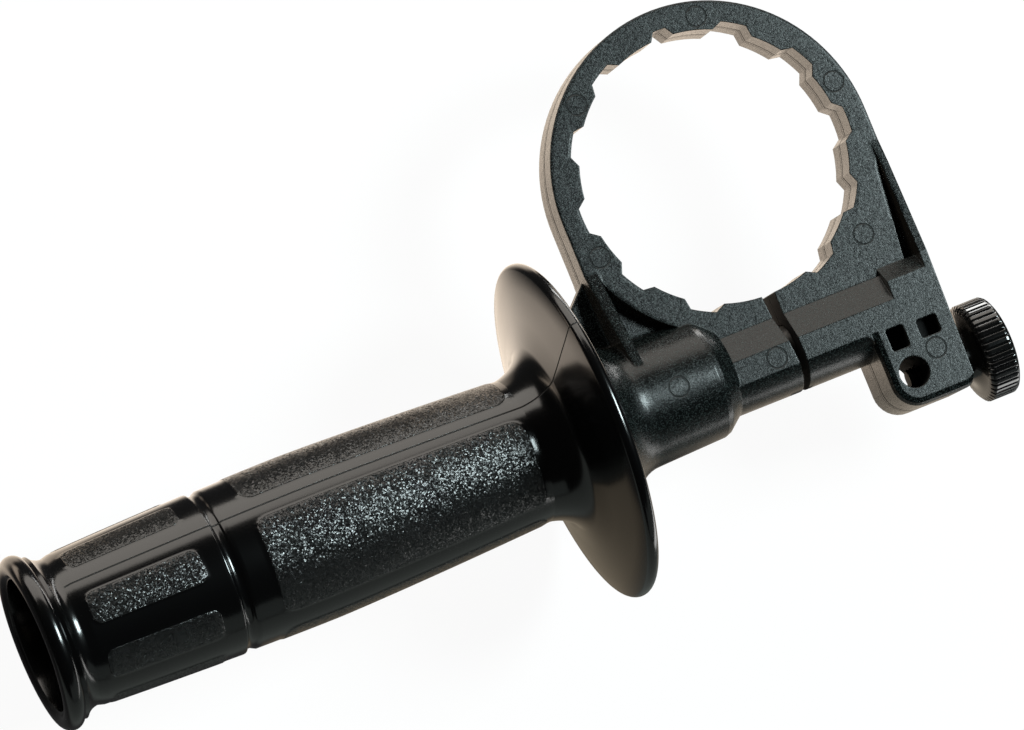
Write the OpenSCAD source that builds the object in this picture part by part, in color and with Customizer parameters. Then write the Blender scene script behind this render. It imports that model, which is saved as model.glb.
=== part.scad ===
// Side handle for a hand-held power tool: a toothed split ring that clamps on the tool's round
// collar, a hollow grip with a hand guard that tightens it, and a thumb screw for a depth rod.
// Millimetres. The origin is the middle of the ring's bore. +Z is the bore's axis, +X runs along
// the handle axis towards the thumb knob, and +Y points from the handle axis to the ring.

/* [Clamp ring] */
// Bore over the tips of the teeth
bore_d = 53.4; // [48:0.2:58]
// Depth of the notches between the teeth
notch_depth = 1.65; // [1:0.05:2]
// Wall of the ring outside the notches
ring_wall = 4.05; // [3.5:0.05:5.5]
// Width of the ring along its axis
ring_w = 9.8; // [8:0.2:12]
// Notches in the bore, spread either side of the one opposite the split
notch_n = 11; // [7:2:11]
// Angle from one notch to the next
notch_pitch = 30.5; // [27:0.5:31]
// Angle that a notch takes at the tips of the teeth
notch_mouth = 16.8; // [14:0.2:19]
// Angle that a notch takes at its bottom
notch_floor = 10.2; // [7:0.2:12]
// Gap of the split between the two lugs, at the handle axis
split_gap = 1.9; // [1.2:0.1:3]
// How far the grip-side lug leans across the gap, from the ring down to the underside
split_lean = 1.6; // [0:0.1:1.8]
// Thickness of the web and of the pocket floors in the ring's middle plane
web_t = 2.4; // [1.6:0.2:4]
// Thickness of the straight rim on the knob side
rim_t = 1.5; // [1.2:0.1:2.4]
// Thickness of the straight rib on the grip side, at the ring
rib_t = 2.6; // [2:0.1:4]
// Thickness of that rib where it runs out on the hub
rib_end_t = 1.7; // [1.2:0.1:2.4]

/* [Lugs] */
// Distance from the outside of the ring to the handle axis
axis_gap = 4.7; // [4:0.1:8]
// Diameter of the tube that the two lugs make round the bolt
tube_d = 18.2; // [17.4:0.2:22]
// Thickness over the flats of the tube and the stop block
lug_w = 16.2; // [15.6:0.2:17.2]
// Width of the flats on the tube
flat_w = 4.7; // [3:0.1:6]
// Length of the tube between the split and the hub
tube_l = 12.3; // [8:0.1:16]

/* [Hub] */
// Hub diameter where it meets the tube
hub_front_d = 23.7; // [22.6:0.1:26]
// Hub diameter where it meets the flare
hub_back_d = 24.8; // [23:0.1:28]
// Length of the sloping shoulder down to the tube
shoulder_l = 3.7; // [2:0.1:6]
// Length of the flare behind the hub
flare_l = 9.4; // [7:0.1:13]
// Diameter of the seat that the grip bears on
seat_d = 37; // [32:0.5:42]

/* [Stop block] */
// Width of the block along the handle axis
block_w = 16.1; // [14:0.1:20]
// Depth of the block below the handle axis
block_drop = 20.4; // [18.5:0.1:26]
// Radius of the block's lower corner on the grip side
block_r = 5.2; // [3:0.1:6]
// Hole for the depth rod
rod_d = 6.2; // [5:0.1:7]
// Distance of the rod hole below the handle axis
rod_drop = 13.9; // [12.5:0.1:15]
// Distance of the rod hole from the block's side wall
rod_inset = 5.1; // [4.6:0.1:6.5]
// Rounding of the block's lower edges
block_edge = 1.4; // [0.6:0.1:1.8]
// Depth of the square cored pocket beside the bolt's head; the other is deeper
core_depth = 3.3; // [1:0.1:3.6]

/* [Grip] */
// Length of the grip from its open end to its bearing face
grip_l = 115.2; // [95:0.2:140]
// Largest diameter of the grip's body
grip_d = 32.2; // [30:0.2:36]
// Diameter of the neck behind the guard
neck_d = 28.4; // [26:0.2:30]
// Diameter of the bead round the open end
lip_d = 34.8; // [34:0.2:40]
// Bore of the hollow
hollow_d = 26; // [22:0.2:27]
// Diameter of the hand guard
guard_d = 68; // [54:0.5:80]
// Thickness of the guard at its rim
guard_rim_t = 2.6; // [2:0.1:4]
// Distance from the grip's bearing face to the middle of the guard's rim
guard_set = 2.2; // [1.6:0.1:4]
// Height of the textured panels over the smooth strips
panel_h = 0.15; // [0.1:0.05:0.5]

/* [Clamp bolt] */
// Thread diameter of the clamp bolt
bolt_d = 8; // [6:0.5:8]
// Length of the clamp bolt under its head
bolt_l = 90; // [85:1:92]
// Width of the bolt head across its flats
head_af = 12; // [11:0.5:12]
// Height of the bolt head
head_h = 5.3; // [4:0.1:6]
// Diameter of the thrust washer
washer_d = 24; // [18:0.5:30]
// Thickness of the thrust washer
washer_t = 1.2; // [0.8:0.1:2]
// Diameter of the threaded bush in the grip
bush_d = 14; // [12:0.5:18]
// Length of the threaded bush in the grip
bush_l = 16; // [12:0.5:18]

/* [Thumb screw] */
// Diameter of the knurled head
knob_d = 19.7; // [17:0.1:22]
// Thickness of the knurled head
knob_t = 6.3; // [4:0.1:9]
// Length of the flared neck of the knob
knob_neck_l = 2.6; // [1.5:0.1:5]
// Diameter of the neck at its end
knob_neck_d = 9; // [8:0.1:11]
// Number of grooves in the knurl
knurl_n = 46; // [24:2:50]
// Thread diameter of the thumb screw
screw_d = 4; // [3:0.1:4.5]
// Distance of the thumb screw below the handle axis
screw_drop = 14.6; // [13.4:0.1:15]
// Reach of the screw's tip past the middle of the rod hole, towards the knob
tip_set = 0.7; // [0:0.1:2.5]
// Diameter of the threaded bush in the block
nut_d = 5.8; // [5.4:0.1:6.4]
// Length of the threaded bush in the block
nut_l = 6; // [4:0.1:6.4]

/* [Hidden] */
$fn = 64;

// clearances
run_clear = 0.04;      // radial, of turning threads
pass_clear = 0.3;      // radial, of the clamp bolt in its hole
screw_clear = 0.15;    // radial, of the thumb screw in the block
head_clear = 0.2;      // of the bolt's head in its pocket, across the flats
knob_gap = 0.5;        // free space between the knob's neck and the block
end_clear = 4;         // free space past the end of the clamp bolt

// small shapes that the driving sizes don't change
edge_r = 0.8;          // rounding of the hub's edges
rim_lean = 1.1;        // how far the two side walls lean inwards from the ring to the lugs
head_sink = 0.7;       // depth of the bolt's head below the block's side wall
step_w = 6.9;          // from the side of the block's lower part to its raised upper part
slope_low = 3;         // length of the block's steep slope
slope_top = 5.9;       // from the handle axis up to the top of the lugs' long slope
block_top = 4.2;       // from the handle axis up to the top of the block's flat
foot_r = 1.9;          // radius of the block's lower corner under the knob
flat_fill_r = 2;       // fillet between the block and the tube's lower flat
seam_overlap = 0.2;    // how far neighbouring walls reach into each other
groove_w = 1.8;        // width of the groove round the grip
groove_deep = 0.65;    // depth of the groove round the grip
lip_bead_r = 2.1;      // section radius of the bead round the open end
end_part_l = 38.3;     // length of the grip's end section
bush_set = 4;          // depth of the grip's threaded bush below the bearing face
fillet_r = 7;          // fillet up the back of the guard
fillet_set = 9;        // from the start of that fillet to the middle of the guard's rim
panel_skip = 0.9;      // from the ends of a textured panel to the nearest ring of the surface
panel_edge_a = 9;      // angle from the parting plane to the first long panel
main_panel_a = 72;     // angle that a long panel takes
end_panel_a = 24;      // angle that a short panel takes
knurl_r = 0.36;        // section radius of the knurl's grooves
chamfer = 0.4;         // chamfer on the thumb screw's tip
head_skin = 1.8;       // plastic between the thumb screw and the outer face of the knob

tip_r = bore_d / 2;
notch_r = tip_r + notch_depth;
ring_r = notch_r + ring_wall;
ring_z = ring_w / 2;
lug_z = lug_w / 2;
tube_r = tube_d / 2;
axis_y = -(ring_r + axis_gap);

// places along the handle axis
split_x = 0.45;
split_left = split_x - split_gap / 2;
split_right = split_x + split_gap / 2;
tube_x = split_left - tube_l;
hub_front_x = tube_x - shoulder_l;
hub_back_x = -(ring_r - 0.9);
seat_x = hub_back_x - flare_l;
wall_x = ring_r - rim_lean;
block_x = wall_x - block_w;
step_x = block_x + step_w;

// the lugs' section: a flat each side of the tube, and a slope from the flat up to the ring plate
flat_low_y = axis_y - sqrt(max(tube_r * tube_r - lug_z * lug_z, 1));
flat_high_y = flat_low_y + flat_w;
plate_y = axis_y + slope_top;
block_high_y = axis_y + block_top;
block_plate_y = block_high_y + slope_low;
block_low_y = axis_y - block_drop;

// rod hole and thumb screw
rod_x = block_x + rod_inset;
rod_y = axis_y - rod_drop;
screw_y = axis_y - screw_drop;
tip_x = rod_x + tip_set;
neck_x = wall_x + knob_gap;
knob_x = neck_x + knob_neck_l;
knob_end_x = knob_x + knob_t;
screw_end_x = knob_end_x - head_skin;
nut_x = wall_x - nut_l;

// clamp bolt and the pieces on it
head_x = wall_x - head_h - head_sink;
bolt_end_x = head_x - bolt_l;
face_x = seat_x - washer_t;
grip_end_x = face_x - grip_l;
bush_x = face_x - bush_set;
bush_end_x = bush_x - bush_l;

// places along the grip, measured from its bearing face
guard_x = face_x - guard_set;
guard_r = guard_d / 2;
neck_r = neck_d / 2;
grip_r = grip_d / 2;
lip_r = lip_d / 2;
groove_x = grip_end_x + end_part_l;
hollow_end_x = bolt_end_x - end_clear;
fillet_x = guard_x - fillet_set;
main_x0 = groove_x + 6.8;
main_x1 = guard_x - 12.7;
end_x0 = grip_end_x + 10.1;
end_x1 = groove_x - 5.3;
parting = 31;          // turn of the grip's parting plane from the clamp's face, in degrees

function arc(cx, cy, r, a0, a1, n = 6) =
    [for (i = [0:n]) let (a = a0 + (a1 - a0) * i / n) [cx + r * cos(a), cy + r * sin(a)]];
function mix(a, b, t) = a + (b - a) * t;

// a (y, z) outline carried along the handle axis from x0 to x1
module along_x(x0, x1) {
    translate([x0, 0, 0]) rotate([90, 0, 90]) linear_extrude(x1 - x0) children();
}

// a (radius, x) outline turned about a line along X at height y
module turned_x(y) {
    translate([0, y, 0]) rotate([0, 90, 0]) rotate_extrude($fn = 96) children();
}

// a plain round bar along X
module bar_x(x0, x1, y, r) {
    translate([x0, y, 0]) rotate([0, 90, 0]) cylinder(h = x1 - x0, r = r);
}

// a hexagonal bar along the handle axis, with flats across Z
module hex_x(x0, x1, af) {
    translate([x0, axis_y, 0]) rotate([90, 0, 90]) linear_extrude(x1 - x0)
        circle(r = af / 2 / cos(30), $fn = 6);
}

// one notch of the bore, pointing along +X
module notch(mouth, floor_a) {
    a = mouth / 2;
    b = floor_a / 2;
    over = 0.6;
    polygon(concat(
        [[tip_r - over, -(tip_r - over) * tan(a)]],
        arc(0, 0, tip_r, -a, -a, 1),
        arc(0, 0, notch_r, -b, b, 4),
        arc(0, 0, tip_r, a, a, 1),
        [[tip_r - over, (tip_r - over) * tan(a)]]));
}

// toothed bore; the notch opposite the split is half as wide as the rest
module bore_outline() {
    circle(r = tip_r, $fn = 128);
    side_n = (notch_n - 1) / 2;
    rotate(90) notch(notch_mouth * 0.6, notch_floor * 0.5);
    for (i = [1:side_n], s = [-1, 1])
        rotate(90 + s * i * notch_pitch) notch(notch_mouth, notch_floor);
}

// ring plate: the ring, its straight side walls and the solid wall above the lugs
module plate_outline() {
    pocket_y = block_plate_y;
    circle(r = ring_r, $fn = 128);
    polygon([[0, -tip_r], [tip_r, -ring_r * 0.4], [ring_r - 2.2, -ring_r * 0.36],
             [wall_x - rim_t - 1.7, pocket_y], [wall_x - rim_t - 1.7, axis_y],
             [hub_front_x, axis_y], [hub_front_x, -tip_r]]);
}

// straight side wall that leans inwards, between the ring and the level y1
module side_wall_outline(t, end_t, y1) {
    polygon([[-ring_r, 0], [-ring_r, -ring_r * 0.35], [-ring_r + rim_lean, y1],
             [-ring_r + rim_lean + end_t, y1], [-ring_r + t, -ring_r * 0.3], [-ring_r + 2, 0]]);
}

// (y, z) outline of a wall whose edge rises from the ring plate at the level y0 to z1 at y1
module rising_outline(z1, y0, y1, y2) {
    polygon([[0.5, ring_z], [y0, ring_z], [y1, z1], [y2, z1],
             [y2, -z1], [y1, -z1], [y0, -ring_z], [0.5, -ring_z]]);
}

module left_rib() {
    low_y = axis_y + 3;
    top_z = hub_back_d / 2 - 0.9;
    intersection() {
        linear_extrude(2 * top_z, center = true) side_wall_outline(rib_t, rib_end_t, low_y);
        along_x(-ring_r - 1, 0) rising_outline(top_z, -ring_r * 0.33, low_y, low_y - 1);
    }
}

module right_rim() {
    intersection() {
        linear_extrude(lug_w, center = true)
            mirror([1, 0]) side_wall_outline(rim_t, rim_t, block_low_y + 2);
        along_x(0, ring_r + 1) rising_outline(lug_z, -ring_r * 0.2, block_plate_y, block_low_y);
    }
}

// thin webs in the middle plane: under the ring on the grip side, out to the seat, and in the
// narrow pocket beside the rim
module webs() {
    corner_y = -ring_r * 0.35;
    reach_x = seat_x + 1;
    linear_extrude(web_t, center = true) difference() {
        union() {
            polygon([[-ring_r + 1, corner_y], [-ring_r + 1, axis_y], [-tube_l, axis_y],
                     [-tube_l, -tip_r], [-ring_r + 4, corner_y]]);
            polygon([[-ring_r + 0.1, corner_y], [reach_x, corner_y + (reach_x + ring_r)],
                     [reach_x, axis_y], [-ring_r + 1.5, axis_y], [-ring_r + 1.5, corner_y]]);
            polygon([[ring_r - 3, -ring_r * 0.3], [wall_x - 0.5, -ring_r * 0.3],
                     [wall_x - 0.5, axis_y], [wall_x - 6, axis_y]]);
        }
        circle(r = notch_r + 1);
    }
}

// hub with its shoulder towards the tube and its flare towards the grip
module hub() {
    r1 = hub_front_d / 2;
    r2 = hub_back_d / 2;
    r3 = seat_d / 2;
    turned_x(axis_y) polygon(concat(
        [[0, tube_x + 0.01], [tube_r - 0.3, tube_x + 0.01], [r1 - edge_r * 0.5, hub_front_x + edge_r * 0.4],
         [r1, hub_front_x - edge_r]],
        [for (i = [0:8]) let (t = i / 8)
            [mix(r2, r3 - 0.8, t * t), mix(hub_back_x, seat_x + 1.2, t)]],
        [[r3, seat_x + 0.8], [r3, seat_x], [0, seat_x]]));
}

// (y, z) outline of the two lugs: round below the handle axis, sloping up to the plate above it
module lug_outline() {
    intersection() {
        translate([axis_y, 0]) circle(r = tube_r, $fn = 96);
        translate([axis_y - tube_r, -lug_z]) square([tube_r + 0.3, lug_w]);
    }
    polygon([[axis_y, lug_z], [flat_high_y, lug_z], [plate_y, ring_z],
             [plate_y, -ring_z], [flat_high_y, -lug_z], [axis_y, -lug_z]]);
}

// upper part of the stop block, with its own steeper slope
module block_top_outline() {
    polygon([[block_plate_y, ring_z], [block_high_y, lug_z], [axis_y - 5, lug_z],
             [axis_y - 5, -lug_z], [block_high_y, -lug_z], [block_plate_y, -ring_z]]);
}

// lower part of the stop block, seen along Z, with its left and bottom edges drawn in by e
module block_outline(e) {
    r1 = block_r - e;
    r2 = foot_r;
    low_y = block_low_y + e;
    polygon(concat([[wall_x, axis_y], [block_x + e, axis_y]],
        arc(block_x + e + r1, low_y + r1, r1, 180, 270, 8),
        arc(wall_x - r2, low_y + r2, r2, 270, 360, 4)));
}

// the same with its lower edges rounded in two steps, and the fillet up to the tube's flat
module block() {
    e = block_edge;
    fill_r = flat_fill_r;
    hull() for (step = [[0, lug_z - e], [0.3 * e, lug_z - 0.3 * e], [e, lug_z]])
        linear_extrude(2 * step[1], center = true) block_outline(step[0]);
    linear_extrude(lug_w, center = true) difference() {
        translate([block_x - fill_r, flat_low_y - fill_r]) square([fill_r + e + 0.5, fill_r + e + 0.5]);
        translate([block_x - fill_r, flat_low_y - fill_r]) circle(r = fill_r);
        translate([block_x, flat_low_y - fill_r - 1]) square([e + 1, fill_r + 1]);
    }
}

// the two square pockets that core out the block on each face, as (x, y, width, height, depth)
module block_cores() {
    first = [block_x + 2.7, axis_y - 8.9, 3.8, 4.5, core_depth + 2.2];
    second = [block_x + 9.1, axis_y - 8.5, 4.3, 3.7, core_depth];
    r = 0.6;
    for (c = [first, second], s = [-1, 1])
        translate([c[0], c[1], s > 0 ? lug_z - c[4] : -lug_z - 1])
            linear_extrude(c[4] + 1) {
                translate([r, 0]) square([c[2] - 2 * r, c[3]]);
                translate([0, r]) square([c[2], c[3] - 2 * r]);
                for (x = [r, c[2] - r], y = [r, c[3] - r]) translate([x, y]) circle(r = r);
            }
}

module clamp_ring() {
    bolt_hole_r = bolt_d / 2 + pass_clear;
    color("#3c4548") difference() {
        union() {
            linear_extrude(ring_w, center = true) plate_outline();
            webs();
            left_rib();
            right_rim();
            hub();
            along_x(hub_front_x, block_x + 1) lug_outline();
            along_x(block_x, wall_x - 2 * seam_overlap) lug_outline();
            along_x(step_x, wall_x - seam_overlap) block_top_outline();
            block();
        }
        linear_extrude(ring_w + 10, center = true) bore_outline();
        // split between the lugs, wider at the ring
        linear_extrude(lug_w + 2, center = true)
            polygon([[split_right, -ring_r * 0.5], [split_left - split_lean, -ring_r * 0.5],
                     [split_left + split_lean / 2, axis_y - tube_r - 2],
                     [split_right, axis_y - tube_r - 2]]);
        // bolt hole, open hexagonal pocket for the bolt's head
        bar_x(seat_x - 1, wall_x + 2, axis_y, bolt_hole_r);
        hex_x(head_x, wall_x + 2, head_af + head_clear);
        // depth rod, thumb screw and its bush
        translate([rod_x, rod_y, -lug_z - 1]) cylinder(h = lug_w + 2, d = rod_d);
        bar_x(rod_x, wall_x, screw_y, screw_d / 2 + screw_clear);
        bar_x(nut_x, wall_x + 1, screw_y, nut_d / 2);
        block_cores();
    }
}

module clamp_bolt() {
    color("#8d9093") {
        hex_x(head_x, head_x + head_h, head_af);
        bar_x(bolt_end_x + 2 * chamfer, head_x, axis_y, bolt_d / 2);
        translate([bolt_end_x, axis_y, 0]) rotate([0, 90, 0])
            cylinder(h = 2 * chamfer, r1 = bolt_d / 2 - 2 * chamfer, r2 = bolt_d / 2);
    }
}

module thrust_washer() {
    color("#a4a6a6") difference() {
        bar_x(face_x, seat_x, axis_y, washer_d / 2);
        bar_x(face_x - 1, seat_x + 1, axis_y, bolt_d / 2 + pass_clear);
    }
}

// radius of the grip at x, on its end section and on its main body
function end_r(x) = mix(grip_r - 1.2, grip_r - 0.05, pow((x - grip_end_x - 8) / 30, 0.8));
function body_r(x) =
    let (t = (x - groove_x) / (fillet_x - groove_x))
    t < 0.28 ? mix(grip_r - 0.25, grip_r, sin(90 * t / 0.28))
             : mix(grip_r, neck_r, pow((t - 0.28) / 0.72, 1.35));

// evenly spaced places on the grip's curve, from a little before x0 to a little past x1
function stations(x0, x1, n) = [for (i = [0:n]) mix(x0 - panel_skip, x1 + panel_skip, i / n)];

// the same places for a panel's edge, but with the panel's own two ends
function panel_stations(x0, x1, n) =
    concat([x0], [for (i = [1:n - 1]) mix(x0 - panel_skip, x1 + panel_skip, i / n)], [x1]);

module grip_outline() {
    lip_x = grip_end_x + lip_bead_r;
    lip_c = lip_r - lip_bead_r;
    back_x = guard_x - guard_rim_t / 2;
    front_x = guard_x + guard_rim_t / 2;
    rim_r = guard_rim_t / 2;
    boss_r = seat_d / 2;
    polygon(concat(
        // hollow and its mouth
        [[0, hollow_end_x], [hollow_d / 2 - 1.2, hollow_end_x],
         [hollow_d / 2 - 0.4, hollow_end_x - 1], [hollow_d / 2, grip_end_x + 3],
         [hollow_d / 2 + 0.3, grip_end_x + 0.6]],
        // bead and the hollow neck behind it
        [for (p = arc(lip_x, lip_c, lip_bead_r, 205, 20, 12)) [p[1], p[0]]],
        [for (p = arc(grip_end_x + 7.8, grip_r + 2.2, 3.7, 215, 268, 5)) [p[1], p[0]]],
        // end section, groove, main body
        [for (x = concat([grip_end_x + 8.6], stations(end_x0, end_x1, 4),
            [groove_x - groove_w / 2 - 0.4])) [end_r(x), x]],
        [[grip_r - groove_deep - 0.1, groove_x - groove_w / 2 + 0.1],
         [grip_r - groove_deep - 0.1, groove_x + groove_w / 2 - 0.1]],
        [for (x = concat([groove_x + groove_w / 2 + 0.4, groove_x + 4], stations(main_x0, main_x1, 8),
            [fillet_x - 1.8, fillet_x])) [body_r(x), x]],
        // fillet up the back of the guard and its rounded rim
        [for (i = [1:8]) let (a = 70 * i / 8)
            [neck_r + fillet_r * (1 - cos(a)), fillet_x - fillet_r * 0.55 + fillet_r * sin(a) * 1.25]],
        [[guard_r * 0.7, back_x - 2.1], [guard_r * 0.86, back_x - 0.9]],
        [for (p = arc(guard_x, guard_r - rim_r, rim_r, 165, 0, 8)) [p[1], p[0]]],
        // dished front and the boss that bears on the clamp
        [[guard_r * 0.86, front_x - 0.9], [guard_r * 0.7, front_x - 1.9],
         [boss_r + 1, front_x - 2.6], [boss_r, front_x - 2.2], [boss_r, face_x], [0, face_x]]));
}

// a textured panel: a thin raised sector over the surface, whose outline gives its (radius, x) edge
module panel(edge, a0, a1) {
    deep = 1;
    translate([0, axis_y, 0]) rotate([0, 90, 0]) rotate([0, 0, a0])
        rotate_extrude(angle = a1 - a0, $fn = 96)
            polygon(concat(
                [for (p = edge) [p[0] + panel_h, p[1]]],
                [for (i = [len(edge) - 1:-1:0]) [edge[i][0] - deep, edge[i][1]]]));
}

// two long panels and four short ones on each half of the grip, in mirror image about the
// parting plane of its mould
module grip_panels() {
    main_edge = [for (x = panel_stations(main_x0, main_x1, 8)) [body_r(x), x]];
    end_edge = [for (x = panel_stations(end_x0, end_x1, 4)) [end_r(x), x]];
    for (side = [0, 180]) {
        start = 180 - parting + side;
        for (i = [0:1]) let (a = start + panel_edge_a + 90 * i)
            panel(main_edge, a, a + main_panel_a);
        for (i = [0:3]) let (a = start + panel_edge_a + 3 + 44 * i)
            panel(end_edge, a, a + end_panel_a);
    }
}

module grip() {
    color("#17181a") difference() {
        union() {
            turned_x(axis_y) grip_outline();
            grip_panels();
        }
        bar_x(hollow_end_x - 1, face_x + 1, axis_y, bolt_d / 2 + 0.6);
        bar_x(bush_end_x, bush_x, axis_y, bush_d / 2);
    }
}

module grip_bush() {
    color("#9a9c9e") difference() {
        bar_x(bush_end_x, bush_x, axis_y, bush_d / 2);
        bar_x(bush_end_x - 1, bush_x + 1, axis_y, bolt_d / 2 + run_clear);
    }
}

module thumb_knob() {
    r = knob_d / 2;
    bead = 0.5;
    color("#1b1c1e") difference() {
        union() {
            turned_x(screw_y) polygon([
                [0, neck_x], [knob_neck_d / 2, neck_x], [knob_neck_d / 2 + 0.1, neck_x + 0.6],
                [mix(knob_neck_d / 2, r, 0.25), mix(neck_x, knob_x, 0.6)],
                [mix(knob_neck_d / 2, r, 0.55), mix(neck_x, knob_x, 0.85)],
                [r - 0.7, knob_x], [r - 0.7, knob_x + 0.5], [0, knob_x + 0.5]]);
            translate([knob_x, screw_y, 0]) rotate([90, 0, 90]) linear_extrude(knob_t - bead)
                difference() {
                    circle(r = r, $fn = 96);
                    for (i = [0:knurl_n - 1]) rotate(360 * i / knurl_n)
                        translate([r + 0.05, 0]) circle(r = knurl_r, $fn = 16);
                }
            translate([knob_end_x - bead, screw_y, 0]) rotate([0, 90, 0])
                cylinder(h = bead, r1 = r - 0.35, r2 = r - 0.9, $fn = 96);
        }
        bar_x(neck_x - 1, screw_end_x, screw_y, screw_d / 2 + run_clear);
    }
}

module thumb_screw() {
    color("#2a2a2c") {
        bar_x(tip_x + chamfer, screw_end_x, screw_y, screw_d / 2);
        translate([tip_x, screw_y, 0]) rotate([0, 90, 0])
            cylinder(h = chamfer, r1 = screw_d / 2 - chamfer, r2 = screw_d / 2);
    }
}

module block_bush() {
    color("#b39a5c") difference() {
        bar_x(nut_x, wall_x, screw_y, nut_d / 2);
        bar_x(nut_x - 1, wall_x + 1, screw_y, screw_d / 2 + run_clear);
    }
}

clamp_ring();
clamp_bolt();
thrust_washer();
grip();
grip_bush();
thumb_knob();
thumb_screw();
block_bush();
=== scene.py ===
import math
from functools import reduce

import bmesh
import bpy
from mathutils import Matrix, Vector


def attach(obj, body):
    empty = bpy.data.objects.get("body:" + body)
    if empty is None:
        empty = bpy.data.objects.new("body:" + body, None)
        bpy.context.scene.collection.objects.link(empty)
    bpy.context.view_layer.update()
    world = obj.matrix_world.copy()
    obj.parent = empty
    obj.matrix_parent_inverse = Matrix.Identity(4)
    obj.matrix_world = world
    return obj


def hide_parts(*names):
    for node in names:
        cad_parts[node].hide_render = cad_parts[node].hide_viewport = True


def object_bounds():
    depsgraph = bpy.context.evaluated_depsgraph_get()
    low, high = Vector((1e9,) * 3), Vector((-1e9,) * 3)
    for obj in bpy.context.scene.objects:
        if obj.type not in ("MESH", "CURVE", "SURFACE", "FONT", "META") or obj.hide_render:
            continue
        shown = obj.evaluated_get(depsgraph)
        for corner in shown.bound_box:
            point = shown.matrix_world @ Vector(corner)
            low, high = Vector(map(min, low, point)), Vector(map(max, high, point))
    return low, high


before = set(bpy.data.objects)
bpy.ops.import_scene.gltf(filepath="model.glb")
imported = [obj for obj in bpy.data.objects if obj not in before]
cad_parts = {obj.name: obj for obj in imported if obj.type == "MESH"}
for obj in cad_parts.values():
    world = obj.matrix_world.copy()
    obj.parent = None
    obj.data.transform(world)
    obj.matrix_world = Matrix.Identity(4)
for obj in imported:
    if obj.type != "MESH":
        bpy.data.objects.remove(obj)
cadBox = [list(corner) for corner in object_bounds()]
mm = 0.001
weld = 0.002 * mm  # vertices closer than this are one
axisY = -37.1      # handle axis, below the ring's centre
screwY = -51.7     # thumb screw's axis
print("frame loaded, nodes:", ", ".join(sorted(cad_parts)))


# one output socket, so that shader maths can be written as an expression
class Wire:
    def __init__(self, maker, socket):
        self.maker = maker
        self.socket = socket

    def maths(self, operation, *values):
        return self.maker.node("ShaderNodeMath", {"operation": operation}, dict(enumerate(values)))

    def __add__(self, other):
        return self.maths("ADD", self, other)

    __radd__ = __add__

    def __sub__(self, other):
        return self.maths("SUBTRACT", self, other)

    def __rsub__(self, other):
        return self.maths("SUBTRACT", other, self)

    def __mul__(self, other):
        return self.maths("MULTIPLY", self, other)

    __rmul__ = __mul__

    def __abs__(self):
        return self.maths("ABSOLUTE", self)

    def above(self, other):
        return self.maths("MAXIMUM", self, other)

    def below(self, other):
        return self.maths("MINIMUM", self, other)

    def root(self):
        return self.maths("SQRT", self)

    # 1 where the value is under low, 0 where it is over high
    def inside(self, low, high):
        return self.maker.node("ShaderNodeMapRange", {"interpolation_type": "SMOOTHSTEP"},
                               {"Value": self, "From Min": low, "From Max": high,
                                "To Min": 1.0, "To Max": 0.0})

    # 1 where the value is between low and high, fading to 0 over a soft edge outside them
    def within(self, low, high, soft):
        half = (high - low) / 2
        return abs(self - (low + high) / 2).inside(half, half + soft)

    # another output of the same node
    def other(self, key):
        return Wire(self.maker, self.socket.node.outputs[key])


# distance of a point from a centre, from its two offsets
def reachOf(across, along):
    return (across * across + along * along).root()


# the nodes of one tree
class NodeMaker:
    def __init__(self, tree):
        self.tree = tree

    # a node of a type, with its settings and the values or links of its sockets
    def node(self, kind, settings=None, values=None, out=0):
        made = self.tree.nodes.new(kind)
        for key, value in (settings or {}).items():
            setattr(made, key, value)
        for key, value in (values or {}).items():
            self.give(made.inputs[key], value)
        return Wire(self, made.outputs[out])

    def give(self, socket, value):
        if isinstance(value, Wire):
            self.tree.links.new(value.socket, socket)
        else:
            socket.default_value = value


# a material around its Principled shader, with object coordinates in millimetres
class Finish(NodeMaker):
    def __init__(self, name, **constants):
        self.material = bpy.data.materials.new(name)
        self.material.use_nodes = True
        super().__init__(self.material.node_tree)
        self.shader = self.tree.nodes["Principled BSDF"]
        for socket, value in constants.items():
            self.feed(socket.replace("_", " "), value)
        where = self.node("ShaderNodeTexCoord", out="Object")
        self.where = self.vector("SCALE", {0: where, "Scale": 1 / mm})

    def feed(self, socket, value):
        self.give(self.shader.inputs[socket], value)

    def vector(self, operation, values, out=0):
        return self.node("ShaderNodeVectorMath", {"operation": operation}, values, out)

    def axes(self):
        x = self.node("ShaderNodeSeparateXYZ", None, {0: self.where})
        return x, x.other("Y"), x.other("Z")

    def noise(self, size, detail=2.0, stretch=None, roughness=0.5):
        vector = self.vector("MULTIPLY", {0: self.where, 1: stretch}) if stretch else self.where
        return self.node("ShaderNodeTexNoise", None,
                         {"Vector": vector, "Scale": 1 / size, "Detail": detail, "Roughness": roughness})

    # height of small flat cells, each tilted at random, which glint one by one
    def facets(self, size):
        colour = self.node("ShaderNodeTexVoronoi", {"feature": "F1"},
                           {"Vector": self.where, "Scale": 1 / size, "Randomness": 1.0}, "Color")
        tilt = self.vector("SUBTRACT", {0: colour, 1: (0.5, 0.5, 0.5)})
        offset = self.vector("SUBTRACT", {0: self.where, 1: colour.other("Position")})
        return self.vector("DOT_PRODUCT", {0: tilt, 1: offset}, "Value")

    # the first colour where the mask is 0, the second where it is 1
    def mix(self, mask, first, second):
        first, second = (c if isinstance(c, Wire) else (*c, 1.0) for c in (first, second))
        return self.node("ShaderNodeMix", {"data_type": "RGBA"}, {0: mask, 6: first, 7: second}, 2)

    # height in millimetres, over an optional normal that rounds the sharp edges
    def relief(self, height, rounded=None):
        values = {"Height": height, "Distance": mm, "Strength": 1.0}
        if rounded:
            values["Normal"] = rounded
        self.feed("Normal", self.node("ShaderNodeBump", None, values))


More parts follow.
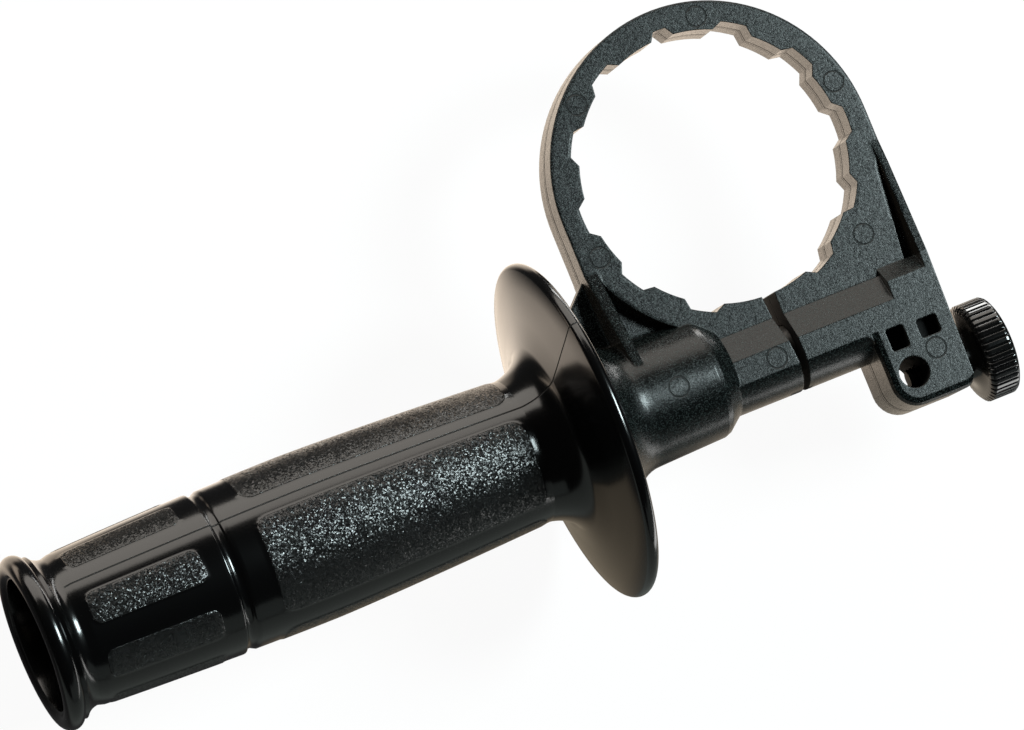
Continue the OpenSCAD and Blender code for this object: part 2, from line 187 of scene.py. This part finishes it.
# profile is a list of (radius, x) in millimetres, turned about a line along X
def turn(profile, centreY, steps, closed=False):
    bm = bmesh.new()
    verts = [bm.verts.new((x * mm, (centreY + r) * mm, 0.0)) for r, x in profile]
    edges = [bm.edges.new(pair) for pair in zip(verts, verts[1:])]
    if closed:
        edges.append(bm.edges.new((verts[-1], verts[0])))
    bmesh.ops.spin(bm, geom=verts + edges, cent=(0, centreY * mm, 0), axis=(1, 0, 0),
                   dvec=(0, 0, 0), angle=2 * math.pi, steps=steps, use_merge=True,
                   use_duplicate=False)
    bmesh.ops.remove_doubles(bm, verts=bm.verts, dist=weld)
    bmesh.ops.recalc_face_normals(bm, faces=bm.faces)
    return bm


# moves a vertex towards or away from a line along X, by a factor of its distance
def scaleAbout(v, centreY, factor):
    v.co.y = centreY * mm + (v.co.y - centreY * mm) * factor
    v.co.z *= factor


def finishPiece(name, bm, body, finish, stands, sharp):
    mesh = bpy.data.meshes.new(name)
    bm.to_mesh(mesh)
    bm.free()
    mesh.shade_smooth()
    mesh.set_sharp_from_angle(angle=math.radians(sharp))
    piece = bpy.data.objects.new(name, mesh)
    bpy.context.scene.collection.objects.link(piece)
    mesh.materials.append(finish.material)
    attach(piece, body)
    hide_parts(*stands)
    print("made", name, "with", len(mesh.polygons), "faces")


# (radius, x) along an arc, its angles measured from +X
def arcPoints(centreR, centreX, radius, start, end, count):
    turns = [math.radians(between(start, end, i / count)) for i in range(count + 1)]
    return [(centreR + radius * math.sin(a), centreX + radius * math.cos(a)) for a in turns]


def between(low, high, share):
    return low + (high - low) * share


def span(start, end, pitch):
    count = max(1, round(abs(end - start) / pitch))
    return [between(start, end, i / count) for i in range(count + 1)]


def softStep(value, low, high):
    share = min(max((value - low) / (high - low), 0.0), 1.0)
    return share * share * (3 - 2 * share)


# distance outside a rounded rectangle, in the same unit as its sizes
def outsideOf(across, along, halfAcross, halfAlong, corner):
    a = max(abs(across) - halfAcross + corner, 0.0)
    b = max(abs(along) - halfAlong + corner, 0.0)
    return math.hypot(a, b) - corner


# millimetres and degrees, here and in the other pieces
grip = {
    "endX": -157.3, "faceX": -42.1, "radius": 16.1, "neckRadius": 14.2, "outerFrom": 13.9,
    "lipRadius": 17.4, "lipBead": 2.1, "hollowRadius": 13.0, "hollowEnd": -68.7,
    "boreRadius": 4.6, "bushRadius": 7.0, "bushFrom": -46.1, "bushTo": -62.1,
    "grooveX": -119.0, "grooveWidth": 1.8, "grooveRadius": 15.3,
    "endTaper": {"starts": 8.0, "length": 30.0, "thinner": 1.2, "left": 0.05, "power": 0.8},
    "bodySwell": {"thinner": 0.25, "share": 0.28, "power": 1.35},
    "neck": {"radius": 3.7, "out": 2.2, "along": 7.8},
    "guardX": -44.3, "guardRadius": 34.0, "guardRim": 1.3, "bossRadius": 18.5,
    "fillet": {"starts": 9.0, "sweep": 70.0, "rise": 7.0, "reach": 8.75, "set": 3.85, "steps": 14},
    # the guard's two sides, as (share of its radius, distance behind the rim)
    "guardBack": [(0.7, 2.1), (0.79, 1.4), (0.87, 0.75)],
    "guardFront": [(0.86, 0.9), (0.7, 1.9)],
    "partingAngle": 31.0, "panelHeight": 0.15, "panelEdge": 0.14,
    "mainPanel": {"from": -112.2, "to": -57.0, "half": 36.0, "corner": 2.6, "centres": (45.0,)},
    "endPanel": {"from": -147.2, "to": -124.3, "half": 12.0, "corner": 1.7, "centres": (22.0, 66.0)},
    "steps": 360, "rowPitch": 0.62,
}


def endRadius(x):
    t = grip["endTaper"]
    share = max((x - grip["endX"] - t["starts"]) / t["length"], 0.0)
    return between(grip["radius"] - t["thinner"], grip["radius"] - t["left"], share ** t["power"])


def bodyRadius(x):
    s = grip["bodySwell"]
    length = grip["guardX"] - grip["fillet"]["starts"] - grip["grooveX"]
    share = (x - grip["grooveX"]) / length
    if share < s["share"]:
        rise = math.sin(math.pi / 2 * share / s["share"])
        return between(grip["radius"] - s["thinner"], grip["radius"], rise)
    fall = (share - s["share"]) / (1 - s["share"])
    return between(grip["radius"], grip["neckRadius"], fall ** s["power"])


# the bore for the bush, then the hollow out to its widened mouth
def hollowPoints():
    g = grip
    inner, deep, end = g["hollowRadius"] - 0.4, g["hollowEnd"], g["endX"]
    points = [(g["boreRadius"], g["bushTo"]), (g["boreRadius"], deep), (inner - 0.8, deep)]
    points += [(between(inner, g["hollowRadius"], i / 6), between(deep - 1, end + 3, i / 6))
               for i in range(7)]
    return points + [(g["hollowRadius"] + 0.3, end + 0.9)]


# bead round the open end, the hollow neck behind it and the end section
def endPoints(stop):
    g = grip
    bead, neck = g["lipBead"], g["neck"]
    points = arcPoints(g["lipRadius"] - bead, g["endX"] + bead, bead, 235, 20, 20)
    points += arcPoints(g["radius"] + neck["out"], g["endX"] + neck["along"], neck["radius"], 215, 268, 10)
    return points + [(endRadius(x), x) for x in span(g["endX"] + 9, stop, g["rowPitch"])]


# groove with softened edges
def groovePoints(start, end):
    g = grip
    deep = g["grooveRadius"]
    return [(g["radius"] - 0.12, start - 0.2), (deep + 0.35, start + 0.02), (deep + 0.06, start + 0.25),
            (deep, g["grooveX"]), (deep + 0.06, end - 0.25), (deep + 0.3, end - 0.02),
            (g["radius"] - 0.4, end + 0.2)]


# fillet up the back of the guard, the guard and the boss that bears on the washer
def guardPoints():
    g = grip
    f, rim, size = g["fillet"], g["guardRim"], g["guardRadius"]
    points = []
    for i in range(1, f["steps"] + 1):
        a = math.radians(f["sweep"] * i / f["steps"])
        points.append((g["neckRadius"] + f["rise"] * (1 - math.cos(a)),
                       g["guardX"] - f["starts"] - f["set"] + f["reach"] * math.sin(a)))
    back, front = g["guardX"] - rim, g["guardX"] + rim
    points += [(size * share, back - away) for share, away in g["guardBack"]]
    points += arcPoints(size - rim, g["guardX"], rim, 160, 5, 12)
    points += [(size * share, front - away) for share, away in g["guardFront"]]
    boss, face = g["bossRadius"], g["faceX"]
    return points + [(boss + 1.0, front - 2.6), (boss, front - 2.2), (boss, face - 0.3),
                     (boss - 0.3, face), (g["boreRadius"], face), (g["boreRadius"], g["bushFrom"]),
                     (g["bushRadius"], g["bushFrom"]), (g["bushRadius"], g["bushTo"])]


def gripProfile():
    start, end = (grip["grooveX"] + side * grip["grooveWidth"] / 2 for side in (-1, 1))
    fillet = grip["guardX"] - grip["fillet"]["starts"]
    body = [(bodyRadius(x), x) for x in span(end + 0.55, fillet, grip["rowPitch"])]
    return hollowPoints() + endPoints(start - 0.5) + groovePoints(start, end) + body + guardPoints()


# angle round the grip from its parting plane, folded to 0..90 degrees from the middle of a half
def foldedAngle(y, z):
    a = (math.degrees(math.atan2(y - axisY, z)) - grip["partingAngle"]) % 180.0
    return abs(a - 90.0)


# 1 on a panel, 0 off the panels, with a soft edge between
def panelShare(x, radius, folded):
    best = 0.0
    soft = grip["panelEdge"]
    for p in (grip["mainPanel"], grip["endPanel"]):
        middle, half = (p["from"] + p["to"]) / 2, (p["to"] - p["from"]) / 2
        if abs(x - middle) > half + 1:
            continue
        for centre in p["centres"]:
            across = math.radians(folded - centre) * radius
            edge = outsideOf(across, x - middle, math.radians(p["half"]) * radius, half, p["corner"])
            best = max(best, 1.0 - softStep(edge, -soft, soft))
    return best


def makeGrip(finish):
    g = grip
    bm = turn(gripProfile(), axisY, g["steps"], closed=True)
    for v in bm.verts:
        x, y, z = (c / mm for c in v.co)
        radius = math.hypot(y - axisY, z)
        if radius >= g["outerFrom"] and g["endPanel"]["from"] - 1 <= x <= g["mainPanel"]["to"] + 1:
            share = panelShare(x, radius, foldedAngle(y, z))
            scaleAbout(v, axisY, 1 + g["panelHeight"] * share / radius)
    finishPiece("grip_shell", bm, "handle", finish, ["grip"], 50.0)


knob = {
    "neckX": 31.8, "neckRadius": 4.5, "neckPower": 1.6, "flarePower": 2.2, "flareSteps": 8,
    "rimX": 34.4, "endX": 40.7, "radius": 9.85, "rowPitch": 0.55,
    "flutes": 46, "fluteDepth": 0.38, "grooveShare": 0.46, "stepsPerFlute": 20,
    # the flutes run out over these distances, inwards from the rim and back from the end
    "runInwards": (1.0, 0.5), "runBack": (1.15, 0.8),
}


def knobProfile():
    k = knob
    rim, reach = k["radius"], k["rimX"] - k["neckX"]
    points = [(0.0, k["neckX"]), (k["neckRadius"], k["neckX"])]
    for i in range(1, k["flareSteps"] + 1):
        share = i / k["flareSteps"]
        points.append((between(k["neckRadius"], rim - 1.0, share ** k["neckPower"]),
                       k["neckX"] + reach * (1 - (1 - share) ** k["flarePower"])))
    points += [(rim - 0.75, k["rimX"] + 0.08), (rim - 0.45, k["rimX"] + 0.3)]
    points += [(rim, x) for x in span(k["rimX"] + 0.65, k["endX"] - 0.75, k["rowPitch"])]
    return points + [(rim - 0.25, k["endX"] - 0.35), (rim - 0.75, k["endX"] - 0.08),
                     (rim - 1.2, k["endX"]), (rim * 0.55, k["endX"]), (0.0, k["endX"])]


def makeKnob(finish):
    k = knob
    bm = turn(knobProfile(), screwY, k["flutes"] * k["stepsPerFlute"])
    innerFrom, innerTo = (k["radius"] - away for away in k["runInwards"])
    backFrom, backTo = (k["endX"] - away for away in k["runBack"])
    for v in bm.verts:
        x, y, z = (c / mm for c in v.co)
        radius = math.hypot(y - screwY, z)
        depth = softStep(radius, innerFrom, innerTo) * (1 - softStep(x, backFrom, backTo))
        if depth > 0:
            turns = math.atan2(z, y - screwY) / (2 * math.pi) * k["flutes"]
            valley = 1 - softStep(2 * abs(turns - round(turns)), 0.02, k["grooveShare"])
            scaleAbout(v, screwY, 1 - k["fluteDepth"] * depth * valley / radius)
    finishPiece("knob_body", bm, "knob", finish, ["thumb_knob"], 80.0)


screw = {
    "tipX": 21.0, "endX": 38.9, "radius": 2.0, "root": 1.68, "pitch": 0.7, "stepsPerTurn": 40,
    # places along one pitch: foot, crest from, crest to, foot
    "flanks": (0.06, 0.3, 0.4, 0.64), "weld": 0.003, "cut": 0.0005, "tipRadius": 1.55, "tipSlope": 0.9,
}


def makeScrew(finish):
    s = screw
    turns = math.ceil((s["endX"] - s["tipX"]) / s["pitch"]) + 2
    startX = s["tipX"] - s["pitch"]
    root, crest = s["root"], s["radius"]
    section = list(zip((root, root, crest, crest, root, root), (0.0, *s["flanks"], s["pitch"])))
    bm = bmesh.new()
    verts = [bm.verts.new(((startX + x) * mm, (screwY + r) * mm, 0.0)) for r, x in section]
    edges = [bm.edges.new(pair) for pair in zip(verts, verts[1:])]
    bmesh.ops.spin(bm, geom=verts + edges, cent=(0, screwY * mm, 0), axis=(1, 0, 0),
                   dvec=(s["pitch"] / s["stepsPerTurn"] * mm, 0, 0), angle=2 * math.pi * turns,
                   steps=turns * s["stepsPerTurn"], use_merge=False, use_duplicate=False)
    bmesh.ops.remove_doubles(bm, verts=bm.verts, dist=s["weld"] * mm)
    for x, side in ((s["tipX"], -1), (s["endX"], 1)):
        cut = bmesh.ops.bisect_plane(bm, geom=bm.verts[:] + bm.edges[:] + bm.faces[:],
                                     plane_co=(x * mm, 0, 0), plane_no=(side, 0, 0),
                                     clear_outer=True, dist=s["cut"] * mm)
        rim = [e for e in cut["geom_cut"] if isinstance(e, bmesh.types.BMEdge)]
        bmesh.ops.holes_fill(bm, edges=rim, sides=0)
    # chamfer at the tip
    for v in bm.verts:
        x, y, z = (c / mm for c in v.co)
        radius = math.hypot(y - screwY, z)
        most = s["tipRadius"] + max(x - s["tipX"], 0.0) * s["tipSlope"]
        if radius > most:
            scaleAbout(v, screwY, most / radius)
    bmesh.ops.recalc_face_normals(bm, faces=bm.faces)
    finishPiece("screw_thread", bm, "screw", finish, ["thumb_screw"], 30.0)


clampLook = {
    "dark": (0.0004, 0.0007, 0.0007), "light": (0.0015, 0.0024, 0.0024), "speck": (0.014, 0.020, 0.019),
    # the side walls' colour here is painted warm light; the dark colour after it marks the parting lines
    # and paints shade in the hollows
    "sideWallPaintedLight": (0.03, 0.026, 0.021), "seamAndShade": (0.002, 0.002, 0.002), "roughness": 0.19,
    "edge": 0.32, "outerEdge": 0.9, "outerFrom": 28.6,
    # the parting line and a fainter line below it, as (z, full until, gone at, strength)
    "seams": [(0.0, 0.10, 0.32, 1.0), (-0.95, 0.05, 0.22, 0.6)],
    # engraved circles that the ejector pins leave
    "pinRadius": 2.0, "pinLine": (0.06, 0.20),
    "pins": [(7.9, 28.3), (28.6, 7.0), (-20.9, 20.6), (-28.2, -8.3), (22.4, -22.6),
             (-4.1, -38.7), (-25.4, -37.1), (26.2, -48.2)],
    # painted shade in the hollows: the block's pockets, the rod hole's wall and the split are darkened in
    # colour where real shade falls
    "pocketX": (17.5, 29.0), "pocketY": (-46.2, -41.0), "pocketMouth": (7.2, 7.7), "soft": 0.2,
    "rodX": 20.3, "rodY": -51.0, "rodWall": (3.2, 3.3), "splitHalf": 2.2, "splitTop": (-27.0, -26.5),
}


# mask of the hollows that get painted shade
def hollowShadeMask(x, y, z, wall):
    look = clampLook
    soft = look["soft"]
    pockets = abs(z).inside(*look["pocketMouth"]) * y.within(*look["pocketY"], soft)
    pockets = pockets * x.within(*look["pocketX"], soft)
    rod = reachOf(x - look["rodX"], y - look["rodY"]).inside(*look["rodWall"]) * wall
    split = x.within(-look["splitHalf"], look["splitHalf"], soft) * y.inside(*look["splitTop"])
    return pockets.above(rod).above(split * wall)


def clampFinish():
    look = clampLook
    f = Finish("clamp_nylon", IOR=1.36)
    x, y, z = f.axes()
    grain = f.noise(0.28, roughness=0.6)
    speck = 1 - grain.inside(0.52, 0.64)
    cloud = f.noise(0.9, 3.0)
    patch = f.noise(9.0)
    normal = f.node("ShaderNodeTexCoord", out="Normal")
    facing = abs(f.node("ShaderNodeSeparateXYZ", None, {0: normal}, "Z"))
    wall = facing.inside(0.1, 0.3)
    # streaks along the side walls, and the mould's parting lines there
    streak = f.noise(0.35, 3.0, stretch=(0.12, 0.12, 1.0))
    seam = sum(abs(z - at).inside(full, gone) * strength for at, full, gone, strength in look["seams"])
    seam = seam * wall
    hollow = hollowShadeMask(x, y, z, wall)
    tone = (grain * 0.5 + cloud * 0.6 + patch * 0.15 - 0.30).above(0.0).below(1.0)
    base = f.mix(tone, look["dark"], look["light"])
    base = f.mix(speck, base, look["speck"])
    # the side walls get a lighter warm brown: painted light standing in for the warm light they catch,
    # broken up by streaks
    base = f.mix(wall * (0.3 + streak), base, look["sideWallPaintedLight"])
    # the parting lines get their real dark colour, and the hollows get painted shade
    f.feed("Base Color", f.mix((seam + hollow).below(1.0), base, look["seamAndShade"]))
    lines = [abs(reachOf(x - pinX, y - pinY) - look["pinRadius"]) for pinX, pinY in look["pins"]]
    pins = reduce(Wire.below, lines).inside(*look["pinLine"]) * (1 - facing.inside(0.85, 0.95))
    rough = look["roughness"] + 0.12 * cloud + 0.14 * speck + 0.6 * hollow + 0.3 * seam + 0.35 * pins
    f.feed("Roughness", rough.below(1.0))
    height = f.facets(0.30) * 0.045 + grain * 0.015 + cloud * 0.02 + streak * wall * 0.02
    height = height - seam * 0.10 - pins * 0.10
    # the ring's outer edge is rounder than the rest
    upper = (1 - y.inside(-22.0, -21.0)).above(x.inside(-20.0, -19.0))
    outer = (1 - reachOf(x, y).inside(look["outerFrom"], look["outerFrom"] + 0.3)) * upper
    small, large = (f.node("ShaderNodeBevel", {"samples": 6}, {"Radius": look[key] * mm})
                    for key in ("edge", "outerEdge"))
    f.relief(height, f.mix(outer, small, large))
    return f


# the black plastic of the grip and the knob
blackLook = {
    "dark": (0.0012, 0.0012, 0.0013), "light": (0.004, 0.004, 0.004),
    # the grip: its outer surface, the panels' soft edge and the parting line
    "outerFrom": (13.6, 13.8), "panelEdge": (-0.12, 0.05), "line": (0.09, 0.18), "lineStart": (7.5, 8.0),
    "pebble": 0.28, "crease": 0.30, "leatherDepth": 0.45, "gripRoughness": 0.14, "panelRoughness": 0.11,
    "knobRoughness": 0.06,
}


# 1 on the grip's panels, from the place along it and the folded angle round it
def panelMask(x, radius, folded):
    shares = []
    for p in (grip["mainPanel"], grip["endPanel"]):
        middle, half = (p["from"] + p["to"]) / 2, (p["to"] - p["from"]) / 2
        away = reduce(Wire.below, [abs(folded - math.radians(centre)) for centre in p["centres"]])
        across = (away * radius - math.radians(p["half"]) * radius + p["corner"]).above(0.0)
        along = (abs(x - middle) - half + p["corner"]).above(0.0)
        shares.append((reachOf(across, along) - p["corner"]).inside(*blackLook["panelEdge"]))
    return reduce(Wire.above, shares)


def gripFinish():
    look = blackLook
    f = Finish("grip_plastic", IOR=1.5)
    x, y, z = f.axes()
    up = y - axisY
    radius = reachOf(up, z)
    turned = up.maths("ARCTAN2", up, z) - math.radians(grip["partingAngle"])
    half = turned.maths("WRAP", turned, math.pi, 0.0)
    outer = 1 - radius.inside(*look["outerFrom"])
    mask = panelMask(x, radius, abs(half - math.pi / 2)) * outer
    # leather grain: small tilted pebbles between fine creases
    warp = f.noise(1.6)
    crease = f.noise(look["crease"], 1.0)
    leather = f.facets(look["pebble"]) * look["leatherDepth"] + crease * 0.05 + warp * 0.05
    haze = f.noise(14.0)
    fine = f.noise(0.22)
    line = (half.below(math.pi - half) * radius).inside(*look["line"]) * outer
    line = line * (1 - x.inside(*(grip["endX"] + away for away in look["lineStart"])))
    rough = look["gripRoughness"] + 0.05 * haze + look["panelRoughness"] * mask + 0.6 * line
    f.feed("Roughness", rough.below(1.0))
    # the leather panels are a touch lighter: partly the textured plastic's own tone, partly a painted
    # glint on the pebbles
    f.feed("Base Color", f.mix(mask * (0.3 + crease), look["dark"], look["light"]))
    f.relief(mask * leather - line * 0.15 + fine * 0.0016)
    return f


def knobFinish():
    look = blackLook
    f = Finish("knob_plastic", IOR=1.5)
    haze = f.noise(3.0, 3.0)
    f.feed("Roughness", look["knobRoughness"] + 0.08 * haze)
    f.feed("Base Color", f.mix(haze, look["dark"], look["light"]))
    f.relief(f.noise(0.25) * 0.001)
    return f


metals = {
    "black_steel": {"colour": (0.10, 0.082, 0.070), "roughness": 0.38, "grain": 0.004},
    "bolt_steel": {"colour": (0.16, 0.155, 0.15), "roughness": 0.34, "grain": 0.003},
    "bush_brass": {"colour": (0.70, 0.52, 0.24), "roughness": 0.25, "grain": 0.003},
}


def metalFinish(name):
    metal = metals[name]
    f = Finish(name, Metallic=1.0)
    brushed = f.noise(0.35, 3.0, stretch=(6.0, 0.6, 0.6))
    stain = f.noise(4.0, 3.0)
    darker = tuple(c * 0.72 for c in metal["colour"])
    f.feed("Base Color", f.mix(stain * 0.6 + brushed * 0.4, darker, metal["colour"]))
    f.feed("Roughness", metal["roughness"] + 0.18 * brushed + 0.08 * stain)
    f.relief(brushed * metal["grain"])
    return f


def paintNode(name, finish):
    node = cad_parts[name]
    node.data.materials.clear()
    node.data.materials.append(finish.material)


makeGrip(gripFinish())
makeKnob(knobFinish())
makeScrew(metalFinish("black_steel"))
paintNode("clamp_ring", clampFinish())
zinc = metalFinish("bolt_steel")
for plated in ("clamp_bolt", "thrust_washer", "grip_bush"):
    paintNode(plated, zinc)
paintNode("block_bush", metalFinish("bush_brass"))
print("pieces and finishes done")

studio = {
    "floorZ": -34.2, "floorSize": 6.0, "floorColour": (0.86, 0.86, 0.86), "floorRoughness": 0.9,
    # share of the floor that glows by itself to the camera, so that it stays white
    "floorGlow": 0.94,
    # name: (where it stands in metres from the object's middle, width, height, radiance, colour)
    "lamps": {
        "lowWall": ((0.12, 1.05, 0.37), 2.0, 0.80, 3.1, (1.0, 0.94, 0.86)),
        "keyBox": ((1.24, 0.04, 1.64), 0.60, 0.70, 43.0, (0.82, 0.98, 1.0)),
        "frontFill": ((0.25, -1.1, 0.23), 1.6, 0.50, 0.27, (0.88, 1.0, 0.95)),
    },
    # glowing patches on the table that only glossy surfaces see, painted reflections: (x, y, half width,
    # half depth, soft edge, colour)
    "reflectionGlows": [
        (-60, -420, 420, 350, 20, (0.28, 0.31, 0.29)),
        (-95, -12, 60, 24, 20, (1.75, 1.50, 1.25)),
        (-200, 60, 40, 45, 24, (2.9, 2.4, 1.9)),
        (-155, 5, 30, 35, 20, (1.5, 1.25, 1.0)),
        (0, 0, 62, 62, 26, (1.9, 1.6, 1.3)),
        (15, -75, 35, 35, 20, (0.8, 0.7, 0.57)),
        (-70, -62, 45, 22, 16, (0.32, 0.27, 0.20)),
        (100, 170, 50, 147, 12, (12.0, 12.0, 11.7)),
        (105, -260, 75, 150, 20, (4.8, 4.8, 4.7)),
    ],
    "table": (0.06, 0.06, 0.06),
    # the surroundings' brightness to the camera, to matt surfaces and to glossy ones
    "seen": 1.0, "fill": 0.10, "gloss": 0.025,
}


# takes shadows as a matt floor, looks white, and glows for glossy rays as a dim table with bright patches,
# painted reflections
def floorFinish():
    f = Finish("floor_white", Base_Color=(*studio["floorColour"], 1), Roughness=studio["floorRoughness"])
    camera, glossy, through = (f.node("ShaderNodeLightPath", out=f"Is {ray} Ray")
                               for ray in ("Camera", "Glossy", "Transmission"))
    x, y, z = f.axes()
    paintedReflection = studio["table"]
    for cardX, cardY, halfX, halfY, soft, colour in studio["reflectionGlows"]:
        glowPatch = abs(x - cardX).inside(halfX - soft, halfX) * abs(y - cardY).inside(halfY - soft, halfY)
        paintedReflection = f.mix(glowPatch, paintedReflection, colour)
    # glossy rays see the glowing patches, a painted reflection; camera rays see plain white
    colour = f.mix(glossy, (1.0, 1.0, 1.0), paintedReflection)
    glow = f.node("ShaderNodeEmission", None, {"Color": colour, "Strength": 1.0})
    share = (camera * studio["floorGlow"] + glossy + through).below(1.0)
    both = f.node("ShaderNodeMixShader", None, {0: share, 1: Wire(f, f.shader.outputs[0]), 2: glow})
    f.give(f.tree.nodes["Material Output"].inputs["Surface"], both)
    return f


def makeFloor():
    bm = bmesh.new()
    bmesh.ops.create_grid(bm, x_segments=1, y_segments=1, size=studio["floorSize"] / 2)
    bmesh.ops.translate(bm, verts=bm.verts, vec=(0, 0, studio["floorZ"] * mm))
    mesh = bpy.data.meshes.new("floor")
    bm.to_mesh(mesh)
    bm.free()
    floor = bpy.data.objects.new("floor", mesh)
    bpy.context.scene.collection.objects.link(floor)
    mesh.materials.append(floorFinish().material)


def makeLamps():
    low, high = (Vector(corner) for corner in cadBox)
    middle = (low + high) / 2
    for name, (offset, width, height, radiance, colour) in studio["lamps"].items():
        data = bpy.data.lights.new(name, "AREA")
        data.shape = "RECTANGLE"
        data.size, data.size_y = width, height
        data.color = colour
        data.energy = radiance * math.pi * width * height
        lamp = bpy.data.objects.new(name, data)
        lamp.location = middle + Vector(offset)
        lamp.rotation_euler = Vector(offset).to_track_quat("Z", "Y").to_euler()
        lamp.visible_camera = False
        bpy.context.scene.collection.objects.link(lamp)


def makeWorld():
    world = bpy.data.worlds.new("studio")
    bpy.context.scene.world = world
    world.use_nodes = True
    sky = NodeMaker(world.node_tree)
    camera, glossy = (sky.node("ShaderNodeLightPath", out=f"Is {ray} Ray") for ray in ("Camera", "Glossy"))
    seen, fill, gloss = (sky.node("ShaderNodeBackground", None, {"Strength": studio[key]})
                         for key in ("seen", "fill", "gloss"))
    unseen = sky.node("ShaderNodeMixShader", None, {0: glossy, 1: fill, 2: gloss})
    both = sky.node("ShaderNodeMixShader", None, {0: camera, 1: unseen, 2: seen})
    sky.give(sky.tree.nodes["World Output"].inputs["Surface"], both)


# metres; the focal length is in pixels of the photo, whose width is given too
view = {
    "focal": 6854.8, "pictureWidth": 1024, "sensor": 36.0, "clip": (0.1, 20.0),
    "place": (-0.3803, -0.0884, 1.2621),
    "right": (0.9003, -0.3788, 0.2147), "up": (0.3550, 0.9240, 0.1420), "back": (-0.2522, -0.0516, 0.9663),
}


def makeCamera():
    data = bpy.data.cameras.new("camera")
    data.sensor_width = view["sensor"]
    data.lens = view["focal"] * view["sensor"] / view["pictureWidth"]
    data.clip_start, data.clip_end = view["clip"]
    camera = bpy.data.objects.new("camera", data)
    axes = Matrix([view[key] for key in ("right", "up", "back")]).transposed()
    camera.matrix_world = Matrix.Translation(view["place"]) @ axes.to_4x4()
    bpy.context.scene.collection.objects.link(camera)
    bpy.context.scene.camera = camera


makeFloor()
makeLamps()
makeWorld()
makeCamera()
bpy.context.scene.view_settings.view_transform = "Standard"
print("studio and camera done")
